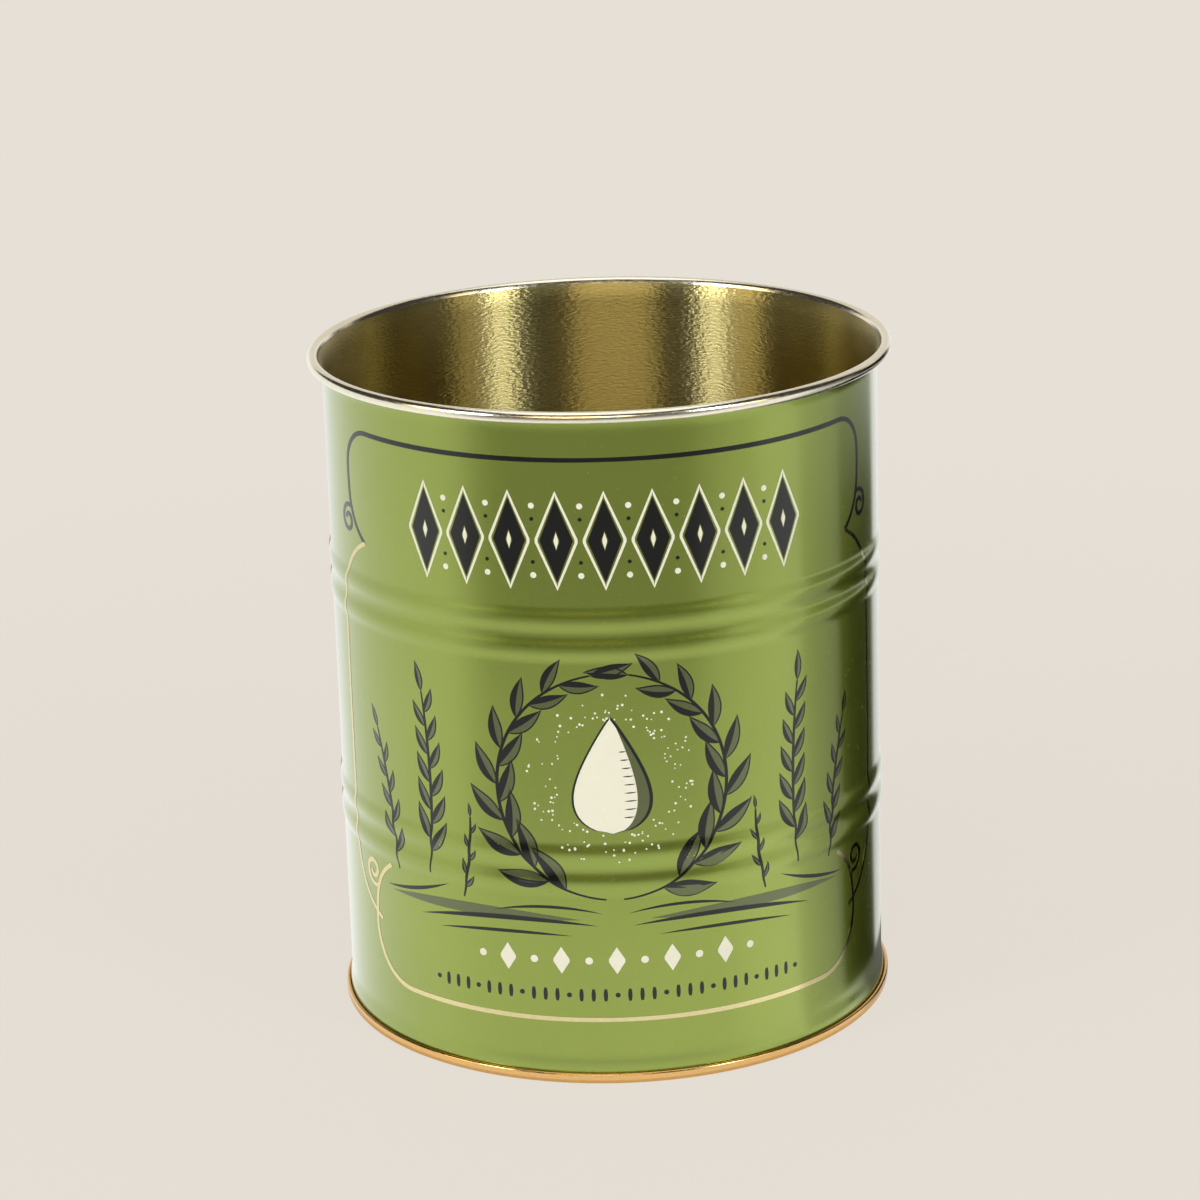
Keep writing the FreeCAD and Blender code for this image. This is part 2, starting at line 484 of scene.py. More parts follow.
body = made_piece("tin_body", body_mesh, body_looks)
thickened(body, SHEET, inner_slot_step=1)
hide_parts("body_wall")
print("body:", len(body.data.polygons), "faces, beads at",
      [round(c / MM, 1) for c in bead_centres])

# %% [markdown]
# The two ends of the sheet lap and are welded down one side, so there the wall is two sheets thick.
# Ink would spoil the weld, so a bare strip is left beside it.
# The lap is drawn by the same pen, one gauge further out.

# %% Side lap
pen = SheetPen(WALL_R + SHEET, SEAM_HEIGHT + BASE_FLARE_RISE + LAP_END_MARGIN, QUARTER)
add_beads(pen)
pen.climb_to(wall_top_z - LAP_END_MARGIN)
lap_mesh = pen.spun(angle=LAP_WIDTH / WALL_R, steps=2)
face_outwards(lap_mesh)
bmesh.ops.rotate(lap_mesh, verts=lap_mesh.verts, cent=(0, 0, 0),
                 matrix=Matrix.Rotation(LAP_TURN - LAP_WIDTH / WALL_R / 2, 3, "Z"))
lap = thickened(made_piece("side_lap", lap_mesh, [bare_tin]), SHEET)
print("side lap:", len(lap.data.polygons), "faces")

# %% [markdown]
# ## The bottom
# The pressed end starts at the axis as a flat panel and steps down the chuck wall to the ring that the tin
# stands on. Then it climbs the outside of the seam and tucks its hook down behind the body's hook.
# The flat panel takes the straight-grained gold on both faces, and the seam a warmer one.

# %% Bottom end
PANEL_SLOT = 2

panel_z = end_box[1].z - SHEET / 2
step_turn = 2 * math.atan2(PANEL_STEP_HEIGHT, PANEL_STEP_WIDTH)
step_bend_r = PANEL_STEP_WIDTH / (2 * math.sin(step_turn))
pen = SheetPen(0, panel_z - PANEL_STEP_HEIGHT, 0)
pen.reach_to(chuck_r - PANEL_STEP_INSET - PANEL_STEP_WIDTH)
pen.bend(step_bend_r, step_turn)
pen.bend(step_bend_r, -step_turn)
pen.reach_to(chuck_r - PANEL_CORNER_R)
pen.bend(PANEL_CORNER_R, -QUARTER)
pen.climb_to(SHEET / 2 + STAND_BEND_R)
pen.bend(STAND_BEND_R, QUARTER)
pen.reach_to(outer_seam_r - STAND_BEND_R)
pen.bend(STAND_BEND_R, QUARTER)
pen.climb_to(SEAM_HEIGHT - SHEET / 2 - LAYER_PITCH)
pen.bend(LAYER_PITCH, 2 * QUARTER)
pen.climb_to(compound_top + SHEET + HOOK_END_CLEARANCE)
end_mesh = pen.spun()
for face in end_mesh.faces:
    if face.calc_center_median().xy.length < chuck_r - PANEL_CORNER_R:
        face.material_index = PANEL_SLOT
end = made_piece("tin_bottom", end_mesh, [gold_seam, gold_panel, gold_panel, gold_panel])
thickened(end, SHEET, inner_slot_step=1)
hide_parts("bottom_end")
print("bottom:", len(end.data.polygons), "faces")

# %% [markdown]
# ## The print
# The label is printed by four plates, one for each ink: cream, then a dark green tint, black and gold.
# A plate is drawn flat, in millimetres along and up the wall, with bands that follow a pen's route.
# Complex numbers suit this: the real part is the way along the wall and the imaginary part the way up,
# and a point beside the route is the route's point plus its heading times an offset and the number 1j.

# %% A pen's route
class Route:
    """A line of straight runs and bends: each leg is a length in millimetres and a turn in degrees."""

    def __init__(self, start, heading, *legs):
        self.start = start
        self.heading = heading
        self.legs = legs
        self.length = sum(length for length, _ in legs)

    def __call__(self, share):
        """The point and the heading, as a unit number, at a share of the whole length."""
        point, heading, left = self.start, math.radians(self.heading), share * self.length
        for length, turn in self.legs:
            walked = min(left, length)
            bend = math.radians(turn) * walked / length
            chord = walked * (math.sin(bend / 2) / (bend / 2) if bend else 1)
            point += chord * complex(math.cos(heading + bend / 2), math.sin(heading + bend / 2))
            heading += bend
            left -= walked
            if left <= 0:
                break
        return point, complex(math.cos(heading), math.sin(heading))

    def mirrored(self):
        """The same route on the other side of the label's middle line."""
        legs = [(length, -turn) for length, turn in self.legs]
        return Route(-self.start.conjugate(), 180 - self.heading, *legs)


def bearing_of(way):
    return math.degrees(math.atan2(way.imag, way.real))


def straight(start, end):
    way = end - start
    return Route(start, bearing_of(way), (abs(way), 0))


corner = Route(0j, 0, (10, 0), (math.pi * 5, 90))
print("a run of 10 and a quarter bend of radius 10 end at", corner(1)[0])

# %% Printing plates
PLATE_STEP, PLATE_LANE = 0.8, 1.5
FEWEST_STEPS = 4
WIDTH_SAMPLES = 8
DOT_SIDES = 14


class Plate:
    """The flat shapes of one ink, drawn in millimetres along and up the wall."""

    def __init__(self, name, ink, lift):
        self.name = name
        self.ink = ink
        self.lift = lift
        self.bm = bmesh.new()

    def band(self, route, near, far):
        """Fill between two offsets from the route, each given as a function of the share of its length."""
        samples = [i / WIDTH_SAMPLES for i in range(WIDTH_SAMPLES + 1)]
        widest = max(abs(far(share) - near(share)) for share in samples)
        steps = max(FEWEST_STEPS, math.ceil(route.length / PLATE_STEP))
        lanes = max(1, math.ceil(widest / PLATE_LANE))
        grid = bmesh.ops.create_grid(self.bm, x_segments=steps, y_segments=lanes, size=1.0)
        for vert in grid["verts"]:
            share, across = (vert.co.x + 1) / 2, (vert.co.y + 1) / 2
            point, heading = route(share)
            spot = point + 1j * heading * (near(share) * (1 - across) + far(share) * across)
            vert.co = (spot.real, spot.imag, 0)

    def stroke(self, route, width, taper=0.0):
        """A pen stroke, thinned towards both ends by the taper share."""
        def half(share):
            return width / 2 * (1 - taper * abs(2 * share - 1) ** 2)
        self.band(route, lambda share: -half(share), half)

    def dot(self, centre, radius):
        bmesh.ops.create_circle(self.bm, cap_ends=True, segments=DOT_SIDES, radius=radius,
                                matrix=Matrix.Translation((centre.real, centre.imag, 0)))


cream = Plate("print_cream", cream_ink, 0.015)
tint = Plate("print_tint", tint_ink, 0.025)
black = Plate("print_black", black_ink, 0.035)
gold = Plate("print_gold", gold_ink, 0.045)
print("plates:", [plate.name for plate in (cream, tint, black, gold)])

# %% [markdown]
# The frame is a thin line with rounded corners and small scrolls: black across the top, gold below.
# Half of it is drawn and then mirrored, so that both sides agree.

# %% Frame line
LINE = 1.15
LINE_TAPER = 0.15


def both_sides(draw, route, *args, **kwargs):
    draw(route, *args, **kwargs)
    draw(route.mirrored(), *args, **kwargs)


top_half = Route(0 + 148.5j, 0, (63, 0), (14, -88), (7, -8), (13, -52))
side_half = Route(top_half(1)[0], -22, (22, -66), (58, -4), (22, -66))
bottom_half = Route(0 + 15.4j, 0, (54, 0), (22, 92), (6, 8), (12, 52))
top_scroll = Route(top_half(0.9)[0], 25, (7, -115), (5, -115), (4, -120), (3, -120))
bottom_scroll = Route(bottom_half(0.9)[0], -25, (7, 115), (5, 115), (4, 120), (3, 120))
frame_parts = ((black, top_half), (black, top_scroll),
               (gold, side_half), (gold, bottom_half), (gold, bottom_scroll))
for plate, route in frame_parts:
    both_sides(plate.stroke, route, LINE, taper=LINE_TAPER)
    print(plate.name, "frame part ends at", route(1)[0])

# %% [markdown]
# Along the top stands a row of tall black lozenges, each with a cream outline set off by a sliver of green.

# %% Lozenge row
LOZENGE_PITCH = 10.8
LOZENGE_HALF_COUNT = 4
LOZENGE_ROW = 130j
OUTLINE_WIDTH, OUTLINE_LENGTH = 10.0, 23
OUTLINE_INNER_WIDTH, OUTLINE_INNER_LENGTH = 8.6, 20.6
BLACK_WIDTH, BLACK_LENGTH = 7.6, 19.2
EYE_GAP_WIDTH, EYE_GAP_LENGTH = 1.6, 4.6
EYE_WIDTH, EYE_LENGTH = 1.2, 3.8
CREAM_DOT_R, CREAM_DOT_RISE = 0.7, 8
BLACK_DOT_R, BLACK_DOT_RISE = 0.45, 4.96


def lozenge_half(width, length, full_length):
    """Half width of a lozenge, along a centre line that may be longer than it."""
    def half(share):
        away = abs(2 * share - 1) * full_length / length
        return width / 2 * max(0.0, 1 - away)
    return half


def upright(middle, length):
    return straight(middle - length / 2 * 1j, middle + length / 2 * 1j)


def filled_lozenge(plate, middle, width, length):
    half = lozenge_half(width, length, length)
    plate.band(upright(middle, length), lambda share: -half(share), half)


def ring_bands(plate, route, inner, outer):
    plate.band(route, inner, outer)
    plate.band(route, lambda share: -outer(share), lambda share: -inner(share))


for i in range(-LOZENGE_HALF_COUNT, LOZENGE_HALF_COUNT + 1):
    middle = LOZENGE_PITCH * i + LOZENGE_ROW
    ring_bands(cream, upright(middle, OUTLINE_LENGTH),
               lozenge_half(OUTLINE_INNER_WIDTH, OUTLINE_INNER_LENGTH, OUTLINE_LENGTH),
               lozenge_half(OUTLINE_WIDTH, OUTLINE_LENGTH, OUTLINE_LENGTH))
    ring_bands(black, upright(middle, BLACK_LENGTH),
               lozenge_half(EYE_GAP_WIDTH, EYE_GAP_LENGTH, BLACK_LENGTH),
               lozenge_half(BLACK_WIDTH, BLACK_LENGTH, BLACK_LENGTH))
    filled_lozenge(cream, middle, EYE_WIDTH, EYE_LENGTH)
    if i < LOZENGE_HALF_COUNT:
        for side in (-1, 1):
            cream.dot(middle + LOZENGE_PITCH / 2 + side * CREAM_DOT_RISE * 1j, CREAM_DOT_R)
            black.dot(middle + LOZENGE_PITCH / 2 + side * BLACK_DOT_RISE * 1j, BLACK_DOT_R)
print("lozenges:", 2 * LOZENGE_HALF_COUNT + 1)

# %% [markdown]
# In the middle hangs a wreath of two leafy branches round a drop of oil.
# A leaf is cut as in a woodcut: tint all over, one half black, and a thin black edge on the other half.

# %% Leaves and branches
LEAF_EDGE, LEAF_VEIN, VEIN_OPENING = 0.35, 0.12, 4
LEAF_SAG = 0.85
LEAF_SPLAY, LEAF_CURL = 38, 22
LEAF_SHRINK = 0.35
FIRST_LEAF, LEAF_SPAN = 0.12, 0.84
STEM_WIDTH, STEM_TAPER = 0.8, 0.5
TIP_LENGTH_SHARE, TIP_WIDTH_SHARE, TIP_CURL = 0.75, 0.7, 10


def leaf(route, width):
    """A leaf along a route, widest a little before its middle."""
    def half(share):
        return width / 2 * math.sin(math.pi * share ** LEAF_SAG)
    tint.band(route, lambda s: -half(s), half)
    black.band(route, lambda s: LEAF_VEIN * min(1, VEIN_OPENING * s), half)
    black.band(route, lambda s: -half(s), lambda s: -max(0.0, half(s) - LEAF_EDGE))


def branch(route, leaf_count, leaf_length, leaf_width):
    """A stem with leaves on alternate sides and one at its tip."""
    black.stroke(route, STEM_WIDTH, taper=STEM_TAPER)
    for i in range(leaf_count):
        share = FIRST_LEAF + LEAF_SPAN * i / leaf_count
        point, heading = route(share)
        side = 1 if i % 2 else -1
        size = 1 - LEAF_SHRINK * share
        line = Route(point, bearing_of(heading) + side * LEAF_SPLAY, (leaf_length * size, -side * LEAF_CURL))
        leaf(line, leaf_width * size)
    tip, heading = route(1)
    line = Route(tip, bearing_of(heading), (leaf_length * TIP_LENGTH_SHARE, TIP_CURL))
    leaf(line, leaf_width * TIP_WIDTH_SHARE)


wreath_half = Route(2 + 45j, 5, (78, 165))
both_sides(branch, wreath_half, 15, 13.5, 4.4)
print("wreath reaches", wreath_half(1)[0])

# %% Drop of oil
DROP_FOOT = 61j
DROP_LENGTH, DROP_HALF_WIDTH = 28, 10
DROP_SAG, DROP_ROUNDNESS, DROP_NARROWING = 0.62, 0.8, 0.25
SHADE_SHARE = 0.62
SHADE_EDGE, LIGHT_EDGE = 0.8, 0.5
HATCH_LINES, HATCH_WIDTH = 9, 0.3
FIRST_HATCH, HATCH_PITCH = 0.14, 0.07
HATCH_LENGTH_SHARE = 0.32
HATCH_HEADING, HATCH_BEND, HATCH_TAPER = 188, -10, 0.9


def drop_half(share):
    """Half width of the drop from its round foot to its pointed top."""
    swell = math.sin(math.pi * share ** DROP_SAG) ** DROP_ROUNDNESS
    return DROP_HALF_WIDTH * swell * (1 - DROP_NARROWING * share)


drop_line = straight(DROP_FOOT, DROP_FOOT + DROP_LENGTH * 1j)
cream.band(drop_line, lambda s: -drop_half(s), drop_half)
tint.band(drop_line, lambda s: -drop_half(s), lambda s: -SHADE_SHARE * drop_half(s))
black.band(drop_line, lambda s: -drop_half(s), lambda s: -max(0, drop_half(s) - SHADE_EDGE))
black.band(drop_line, lambda s: max(0, drop_half(s) - LIGHT_EDGE), drop_half)
for i in range(HATCH_LINES):
    share = FIRST_HATCH + HATCH_PITCH * i
    start = drop_line(share)[0] + SHADE_SHARE * drop_half(share)
    hatch = Route(start, HATCH_HEADING, (HATCH_LENGTH_SHARE * drop_half(share), HATCH_BEND))
    black.stroke(hatch, HATCH_WIDTH, taper=HATCH_TAPER)
print("drop half width at its middle:", round(drop_half(0.4), 2))

# %% [markdown]
# Fine cream stipple sparkles round the drop. A seeded generator scatters the dots, so every run agrees.

# %% Stipple
STIPPLE_DOTS = 150
STIPPLE_MIDDLE = 74j
STIPPLE_NEAR, STIPPLE_FAR = 13.5, 20.5
STIPPLE_SQUEEZE = 0.95
STIPPLE_SMALL, STIPPLE_LARGE = 0.16, 0.32
STIPPLE_SEED = 7
scatter = random.Random(STIPPLE_SEED)
for _ in range(STIPPLE_DOTS):
    bearing = scatter.uniform(0, 2 * math.pi)
    away = scatter.uniform(STIPPLE_NEAR, STIPPLE_FAR)
    spot = STIPPLE_MIDDLE + away * complex(STIPPLE_SQUEEZE * math.cos(bearing), math.sin(bearing))
    cream.dot(spot, scatter.uniform(STIPPLE_SMALL, STIPPLE_LARGE))
print("stipple dots:", STIPPLE_DOTS)

# %% [markdown]
# Herb sprigs stand at both sides, pen flourishes close the picture below, and two rows of small marks end it.

# %% Sprigs
SPRIGS = ((46 + 47j, 96, 44), (57 + 45j, 86, 34), (36.5 + 43j, 104, 20))
SPRIG_BEND = -14
SPRIG_LEAF_PITCH = 4
SPRIG_LEAF_LENGTH_SHARE, SPRIG_LEAF_WIDTH_SHARE = 0.22, 0.07

for foot, lean, height in SPRIGS:
    both_sides(branch, Route(foot, lean, (height, SPRIG_BEND)), int(height / SPRIG_LEAF_PITCH),
               height * SPRIG_LEAF_LENGTH_SHARE, height * SPRIG_LEAF_WIDTH_SHARE)
print("sprigs:", 2 * len(SPRIGS))

# %% Flourishes
FLOURISHES = ((black, 4 + 38.5j, 8, 46, -22, 1.2), (black, 10 + 36j, 4, 34, -14, 0.8),
              (black, 3 + 41.5j, 14, 26, -30, 0.7), (black, 62 + 40j, 175, 22, -18, 0.9),
              (tint, 8 + 40j, 3, 52, -8, 2.6))

for plate, start, heading, length, turn, width in FLOURISHES:
    both_sides(plate.stroke, Route(start, heading, (length, turn)), width, taper=1.0)
print("flourishes:", 2 * len(FLOURISHES))

# %% Rows of small marks
MARK_PITCH, MARK_ROW, MARKS_EACH_SIDE = 6.4, 30j, 5
MARK_WIDTH, MARK_LENGTH, MARK_DOT_R = 4.2, 6.6, 0.9
TICK_PITCH, TICK_ROW, TICKS_EACH_SIDE = 2.8, 21.5j, 16
TICK_WIDTH, TICK_LENGTH, TICK_TAPER, TICK_DOT_R = 1.0, 3, 0.4, 0.6

for i in range(-MARKS_EACH_SIDE, MARKS_EACH_SIDE + 1):
    middle = MARK_PITCH * i + MARK_ROW
    if i % 2:
        cream.dot(middle, MARK_DOT_R)
    else:
        filled_lozenge(cream, middle, MARK_WIDTH, MARK_LENGTH)

for i in range(-TICKS_EACH_SIDE, TICKS_EACH_SIDE + 1):
    middle = TICK_PITCH * i + TICK_ROW
    if i % 4:
        black.stroke(upright(middle, TICK_LENGTH), TICK_WIDTH, taper=TICK_TAPER)
    else:
        black.dot(middle, TICK_DOT_R)
print("small marks:", 2 * MARKS_EACH_SIDE + 1, "and", 2 * TICKS_EACH_SIDE + 1)

# %% [markdown]
# The flat plates are now wrapped on the wall: the way along becomes an angle and the ink follows the beads.
# A turned copy prints the back of the tin, and a thin Solidify gives the ink a body of its own.

# %% Wrap the plates on the wall
INK = 0.01
INK_MERGE_GAP = 0.004 * MM
bead_turn = 2 * math.atan2(BEAD_PROUD, BEAD_PITCH / 2)
bead_arc_r = BEAD_PITCH / 2 / (2 * math.sin(bead_turn))


def bead_rise(z):
    """How far the beads lift the wall at a height: a crown arc and a foot arc of equal radius."""
    away = min(abs(z - centre) for centre in bead_centres)
    foot = BEAD_PITCH / 2 - away
    if foot <= 0:
        return 0.0
    if away < BEAD_PITCH / 4:
        return BEAD_PROUD - bead_arc_r + math.sqrt(bead_arc_r ** 2 - away ** 2)
    return bead_arc_r - math.sqrt(bead_arc_r ** 2 - foot ** 2)


def wrapped(plate):
    bm = plate.bm
    outside_r = WALL_R + SHEET / 2
    for vert in bm.verts:
        angle = vert.co.x * MM / outside_r
        z = vert.co.y * MM
        r = outside_r + bead_rise(z) + plate.lift * MM
        vert.co = (r * math.sin(angle), -r * math.cos(angle), z)
    bmesh.ops.remove_doubles(bm, verts=bm.verts, dist=INK_MERGE_GAP)
    bm.normal_update()
    inward = [f for f in bm.faces if f.normal.dot(Vector((*f.calc_center_median().xy, 0))) < 0]
    bmesh.ops.reverse_faces(bm, faces=inward)
    back = bmesh.ops.duplicate(bm, geom=bm.verts[:] + bm.edges[:] + bm.faces[:])["geom"]
    back_verts = [part for part in back if isinstance(part, bmesh.types.BMVert)]
    bmesh.ops.rotate(bm, verts=back_verts, cent=(0, 0, 0), matrix=Matrix.Rotation(math.pi, 3, "Z"))
    piece = thickened(made_piece(plate.name, bm, [plate.ink]), INK * MM, offset=-1)
    print(piece.name, len(piece.data.polygons), "faces")


for plate in (cream, tint, black, gold):
    wrapped(plate)

# %% [markdown]
# ## The sealing ring
# The compound inside the seam is out of sight. Its CAD solid is already right, so it only gets a rubbery
# finish.

# %% Sealing compound
SPECKLE_SCALE = 2000.0
COMPOUND_ROUGHNESS, SPECKLE_ROUGHNESS = 0.75, 0.1

compound_graph = Graph(bpy.data.materials.new("sealing_compound"))
speckle = compound_graph.ramp(compound_graph.noise(compound_graph.place(), SPECKLE_SCALE), *CLOUD_SPAN)
compound_look = compound_graph.finish({
    "Base Color": compound_graph.mix(speckle, srgb(176, 170, 158), srgb(196, 190, 178)),
    "Roughness": COMPOUND_ROUGHNESS + SPECKLE_ROUGHNESS * speckle,
})
compound = bpy.data.objects["seam_compound"]
for slot in compound.material_slots:
    slot.material = compound_look
print("compound slots:", len(compound.material_slots))

# %% [markdown]
# ## The stage
# The tin stands in a pale cove: a floor that sweeps up into a wall far behind, spun from one line.
# Camera and mirror rays see it in one flat pale colour, with a share of true light near the tin
# for its shadow. A tall paper stands behind the tin, higher than the edge of the cove.

# %% Cove
BACKDROP = srgb(230, 224, 215)
SHADOW_SHARE = 0.11
SHADOW_NEAR, SHADOW_FAR = 0.12, 0.5
COVE_R, COVE_BEND_R, COVE_HEIGHT = 3.0, 0.3, 0.65
STAGE_SEGMENTS = 96
PAPER_X, PAPER_Y, PAPER_WIDTH, PAPER_HEIGHT = 0.5, 1.5, 3.0, 2.3

cove_graph = Graph(bpy.data.materials.new("pale_cove"))
path = {name: cove_graph.node("ShaderNodeLightPath", out=name)
        for name in ("Is Camera Ray", "Is Glossy Ray", "Is Transmission Ray")}
mirror_or_lens = cove_graph.math("MAXIMUM", path["Is Glossy Ray"], path["Is Transmission Ray"])
looked_at = cove_graph.math("MAXIMUM", path["Is Camera Ray"], mirror_or_lens)
from_tin = cove_graph.length(cove_graph.place())
shadow_share = SHADOW_SHARE * (1 - cove_graph.ramp(from_tin, SHADOW_NEAR, SHADOW_FAR))
flat = cove_graph.node("ShaderNodeEmission", None, {"Color": BACKDROP, "Strength": 1.0})
lit = cove_graph.node("ShaderNodeBsdfDiffuse", None, {"Color": BACKDROP})
seen = cove_graph.node("ShaderNodeMixShader", None, {0: shadow_share, 1: flat, 2: lit})
cove_surface = cove_graph.node("ShaderNodeMixShader", None, {0: looked_at, 1: lit, 2: seen})
cove_graph.node("ShaderNodeOutputMaterial", None, {"Surface": cove_surface})


def stage_piece(name, bm, material):
    piece = linked(name, bm, [material])
    return piece


pen = SheetPen(0, 0, 0)
pen.reach_to(COVE_R - COVE_BEND_R)
pen.bend(COVE_BEND_R, QUARTER)
pen.climb_to(COVE_HEIGHT)
cove = stage_piece("cove", pen.spun(steps=STAGE_SEGMENTS), cove_graph.owner)


def upright_card(name, x, y, width, height, material):
    """A flat card that stands behind the tin, facing it."""
    bm = bmesh.new()
    bmesh.ops.create_grid(bm, x_segments=1, y_segments=1, size=0.5)
    bmesh.ops.scale(bm, verts=bm.verts, vec=(width, height, 1))
    bmesh.ops.rotate(bm, verts=bm.verts, cent=(0, 0, 0), matrix=Matrix.Rotation(QUARTER, 3, "X"))
    bmesh.ops.translate(bm, verts=bm.verts, vec=(x, y, height / 2))
    return stage_piece(name, bm, material)


upright_card("paper", PAPER_X, PAPER_Y, PAPER_WIDTH, PAPER_HEIGHT, cove_graph.owner)
print("cove faces:", len(cove.data.polygons), "paper height:", PAPER_HEIGHT)

# %% [markdown]
# Glossy tin looks like what stands round it. A photographer lays bright and dark cards round the tin,
# out of the picture, to shape its reflections. Here one ring of card does it, with its far edge stood up.
# A round wall mirrors the card at rather more than half its bearing, and the nearer the card, the more.
# So the card's brightness is set by the bearing on the wall where it shows, which a few rounds of the
# mirror rule find.
# It is drawn in five belts, from the foot of the tin outwards: seam, near, middle, far and outer.
# A belt further out shows higher up the wall.
# The ring is no lamp, yet it glows by itself, and only mirror rays see it. Its glow paints the bright and
# dark reflections on the tin, but it doesn't show in the picture and casts no light on matt surfaces.

# %% Ring of cards
CARD_TOP = 2.0
CARD_IN, CARD_OUT, CARD_UP = 0.0675, 0.75, 0.3
CARD_LIFT, CARD_BEND_R = 0.5 * MM, 0.05
NEAR_CARDS = ((-94, 0.8), (-79, 1.1), (-39, 1.1), (-26, 1.0), (22, 1.0), (30, 1.15), (41, 1.2), (43, 0.8),
              (55, 0.45), (58, 0.0), (73, 0.0), (76, 0.9), (94, 0.8))
MIDDLE_CARDS = ((-94, 0.8), (-87, 0.9), (-79, 1.0), (-34, 1.05), (-25, 0.4), (17, 0.38), (23, 0.8),
                (43.5, 1.05), (45, 0.5), (56, 0.4), (58, 0.0), (74, 0.0), (77, 1.0), (94, 0.8))
FAR_CARDS = ((-94, 0.8), (-79, 1.0), (-31, 0.95), (-21, 0.35), (23, 0.38), (32, 0.6), (34, 1.1), (45, 1.1),
             (58, 0.8), (73, 0.6), (77, 1.1), (94, 0.8))
OUTER_CARDS = ((-94, 0.8), (-79, 1.0), (-31, 0.9), (-21, 0.12), (21, 0.12), (28, 0.9), (43, 0.9), (46, 0.3),
               (56, 0.2), (58, 0.0), (74, 0.0), (77, 1.0), (94, 0.8))
SEAM_CARDS = ((-94, 0.8), (-79, 1.1), (57, 1.0), (67, 0.15), (94, 0.12))
SEAM_TO_NEAR = (0.0745, 0.078)
NEAR_TO_MIDDLE = (0.14, 0.4)
MIDDLE_TO_FAR = (0.47, 0.66)
FAR_TO_OUTER = (0.72, 0.8)
WIDEST_BEARING = 120
MIRROR_ROUNDS = 4

card_graph = Graph(bpy.data.materials.new("cards"))
place = card_graph.place()
card_x, card_y, _ = card_graph.parts(place)
bearing = card_graph.math("ARCTAN2", card_x, 0 - card_y)
away = card_graph.length(place)
nearness = card_graph.math("DIVIDE", WALL_R, away)
on_wall = 0.5 * bearing
for _ in range(MIRROR_ROUNDS):
    lean = card_graph.math("ARCSINE", nearness * card_graph.math("SINE", on_wall))
    on_wall = 0.5 * (bearing + lean)
share_round = on_wall * (0.5 / math.radians(WIDEST_BEARING)) + 0.5


def belt(levels):
    stops = [(a / WIDEST_BEARING / 2 + 0.5, (level / CARD_TOP,) * 3 + (1.0,)) for a, level in levels]
    return card_graph.node("ShaderNodeValToRGB", {"stops": stops}, {0: share_round})


near = card_graph.mix(card_graph.ramp(away, *SEAM_TO_NEAR), belt(SEAM_CARDS), belt(NEAR_CARDS))
inner = card_graph.mix(card_graph.ramp(away, *NEAR_TO_MIDDLE), near, belt(MIDDLE_CARDS))
outer = card_graph.mix(card_graph.ramp(away, *FAR_TO_OUTER), belt(FAR_CARDS), belt(OUTER_CARDS))
card_colour = card_graph.mix(card_graph.ramp(away, *MIDDLE_TO_FAR), inner, outer)
# Painted reflection: the ring glows at the level each belt sets, so the tin mirrors these bands of painted
# light.
glow = card_graph.node("ShaderNodeEmission", None, {"Color": card_colour, "Strength": CARD_TOP})
card_graph.node("ShaderNodeOutputMaterial", None, {"Surface": glow})

pen = SheetPen(CARD_IN, CARD_LIFT, 0)
pen.reach_to(CARD_OUT)
pen.bend(CARD_BEND_R, QUARTER)
pen.climb_to(CARD_UP)
cards = stage_piece("cards", pen.spun(steps=STAGE_SEGMENTS), card_graph.owner)
cards.visible_camera = False
cards.visible_diffuse = False
cards.visible_shadow = False
cards.visible_transmission = False
all_belts = (SEAM_CARDS, NEAR_CARDS, MIDDLE_CARDS, FAR_CARDS, OUTER_CARDS)
print("card belts:", [len(levels) for levels in all_belts], "stops")

# %% [markdown]
# Two tall soft boxes stand at the front left and front right, and a warm panel beside each.
# The gold inside mirrors each box as one bright upright streak. A warm front panel fills between them,
# and a box overhead brightens the rim and the depth of the tin.
# Cream ink scatters light under its varnish, so two low fills, at the front and the back, light it.
# Mirror rays don't see those two.

# %% Lamps
LAMP_AWAY = 1.3
WHITE = (1.0, 1.0, 1.0)
WARM = (1.0, 0.82, 0.5)
COOL = (0.9, 1.0, 1.1)


def from_rim(azimuth, elevation):
    """A point at a lamp's distance from the mouth, by its bearing from the front and its height angle."""
    a, e = math.radians(azimuth), math.radians(elevation)
    way = Vector((math.sin(a) * math.cos(e), -math.cos(a) * math.cos(e), math.sin(e)))
    return Vector((0, 0, HEIGHT)) + way * LAMP_AWAY


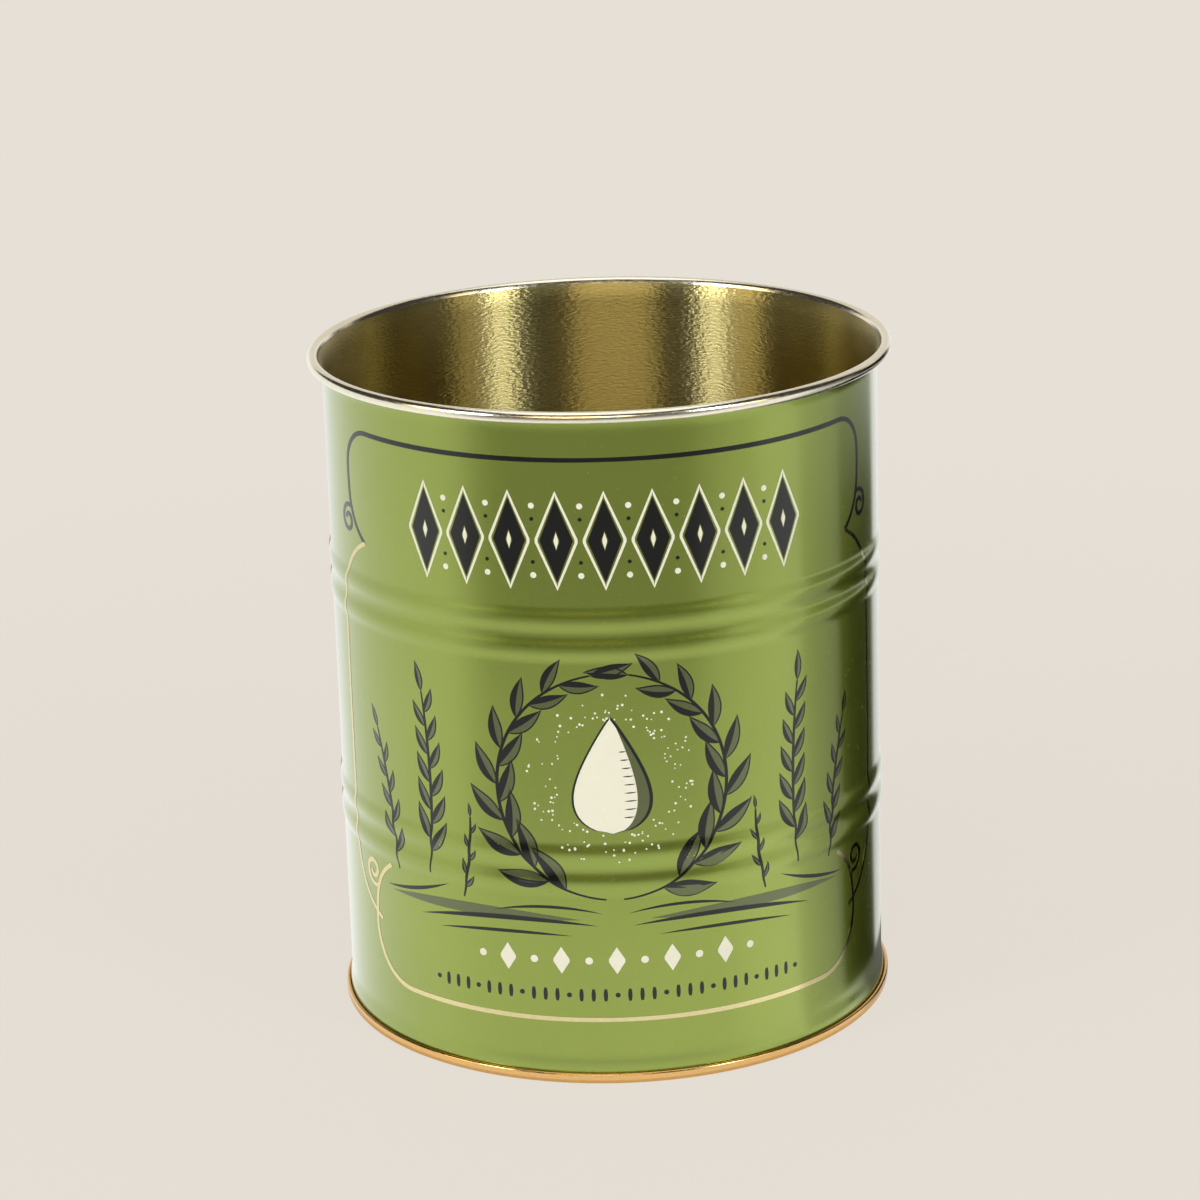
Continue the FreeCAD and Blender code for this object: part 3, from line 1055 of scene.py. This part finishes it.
def soft_box(name, foot, head, width, power, colour=WHITE, mirrored=True):
    """A soft box that faces the tin, from its foot to its head, each a bearing and a height angle."""
    foot, head = from_rim(*foot), from_rim(*head)
    middle = (foot + head) / 2
    upwards = (head - foot).normalized()
    outwards = (middle - Vector((0, 0, HEIGHT))).normalized()
    sideways = upwards.cross(outwards).normalized()
    lamp = bpy.data.lights.new(name, "AREA")
    lamp.shape = "RECTANGLE"
    lamp.size, lamp.size_y = width, (head - foot).length
    lamp.energy = power
    lamp.color = colour
    box = bpy.data.objects.new(name, lamp)
    turned = Matrix((sideways, upwards, sideways.cross(upwards))).transposed().to_4x4()
    box.matrix_world = Matrix.Translation(middle) @ turned
    box.visible_camera = False
    box.visible_glossy = mirrored
    bpy.context.collection.objects.link(box)


soft_box("right_box", (42.3, 13), (48, 33), 0.24, 5.2)
soft_box("left_box", (-50.3, 13), (-57.3, 33), 0.24, 5.2)
soft_box("right_panel", (57.7, 13), (65.7, 33), 0.22, 0.8, WARM)
soft_box("left_panel", (-66.6, 13), (-77, 33), 0.30, 1.75, WARM)
soft_box("front_panel", (-7, 13), (-8, 33), 0.80, 4.4, WARM)
soft_box("top_box", (180, 60), (0, 65), 1.0, 5.0)
soft_box("low_fill", (0, -6), (0, -1), 0.80, 2.2, COOL, mirrored=False)
soft_box("back_fill", (180, -6), (180, -1), 0.80, 8.0, mirrored=False)

ROOM_COLOUR, ROOM_LIGHT = srgb(225, 222, 216), 0.05
world = bpy.data.worlds.new("studio")
bpy.context.scene.world = world
world_graph = Graph(world)
room = world_graph.node("ShaderNodeBackground", None, {"Color": ROOM_COLOUR, "Strength": ROOM_LIGHT})
world_graph.node("ShaderNodeOutputWorld", None, {"Surface": room})

# %% [markdown]
# ## Camera
# The camera has the photograph's viewing angle: a long lens, a little above the tin, tipped slightly.

# %% Camera
FRAME_PIXELS = 1200
SENSOR = 36.0
FOCAL_PIXELS = 3807.8
AIM_PIXELS = 6.73
CAMERA_BACK = 869.7 * MM
CAMERA_UP = 368.75 * MM
PITCH = 0.3039
ROLL = -0.0302
YAW = AIM_PIXELS / FOCAL_PIXELS

lens = bpy.data.cameras.new("camera")
lens.sensor_width = SENSOR
lens.lens = SENSOR * FOCAL_PIXELS / FRAME_PIXELS
camera = bpy.data.objects.new("camera", lens)
camera.matrix_world = (Matrix.Translation((0, -CAMERA_BACK, CAMERA_UP)) @ Matrix.Rotation(YAW, 4, "Z")
                       @ Matrix.Rotation(QUARTER - PITCH, 4, "X") @ Matrix.Rotation(ROLL, 4, "Z"))
bpy.context.collection.objects.link(camera)
bpy.context.scene.camera = camera
bpy.context.scene.view_settings.view_transform = "Standard"
print("lens", round(lens.lens, 1), "mm")
